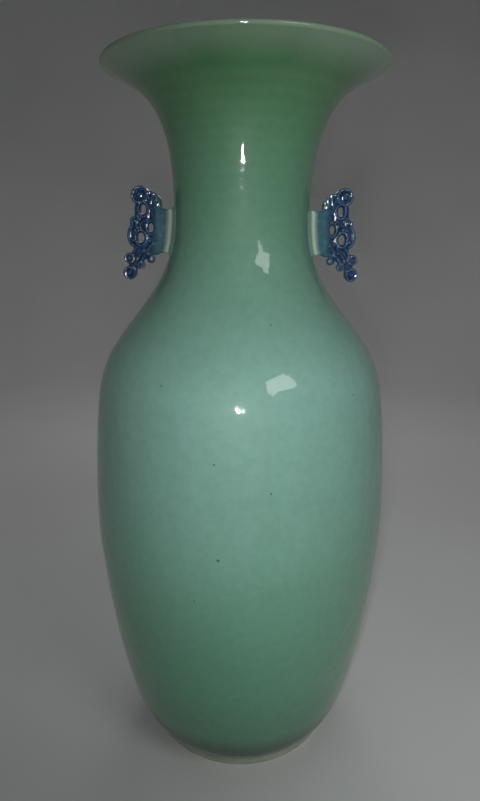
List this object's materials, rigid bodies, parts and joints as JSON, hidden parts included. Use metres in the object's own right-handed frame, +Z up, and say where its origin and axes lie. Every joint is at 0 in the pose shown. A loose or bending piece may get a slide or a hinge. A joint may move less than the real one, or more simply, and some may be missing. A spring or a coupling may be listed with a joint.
{
  "type": "vase",
  "caption": "Tall baluster vase with a flared mouth, ovoid body, low foot ring and openwork scroll handles on bracket blocks at the neck, under a plain pale green glaze.",
  "frame": {"origin": "centre of the foot ring's resting face, on the surface that the vase stands on", "axes": "+Z up along the body's axis, handles at -X and +X, front face towards -Y"},
  "size_m": [0.256, 0.256, 0.58],
  "materials": {
    "celadon_glaze": "glossy pale bluish-green celadon glaze over porcelain",
    "bare_porcelain": "thin pale glaze on the band, bare fired porcelain where it rests",
    "pale_cobalt_glaze": "glossy grey-blue glaze, thinning to cream at the neck",
    "cobalt_glaze": "glossy cobalt-blue glaze, paler on ridges and pooled dark in recesses"
  },
  "bodies": {
    "root": {"foot_ring": "bare_porcelain", "base_floor": "celadon_glaze", "lower_body": "celadon_glaze", "upper_body": "celadon_glaze", "neck": "celadon_glaze", "mouth": "celadon_glaze", "left_bracket": "pale_cobalt_glaze", "right_bracket": "pale_cobalt_glaze", "left_plaque": "cobalt_glaze", "right_plaque": "cobalt_glaze", "left_shoulder_leaf": "cobalt_glaze", "right_shoulder_leaf": "cobalt_glaze", "left_outer_leaf": "cobalt_glaze", "right_outer_leaf": "cobalt_glaze", "left_crest_curl": "cobalt_glaze", "right_crest_curl": "cobalt_glaze", "left_upper_scroll": "cobalt_glaze", "right_upper_scroll": "cobalt_glaze", "left_lower_scroll": "cobalt_glaze", "right_lower_scroll": "cobalt_glaze", "left_inner_curl": "cobalt_glaze", "right_inner_curl": "cobalt_glaze", "left_pellet": "cobalt_glaze", "right_pellet": "cobalt_glaze"}
  },
  "joints": []
}
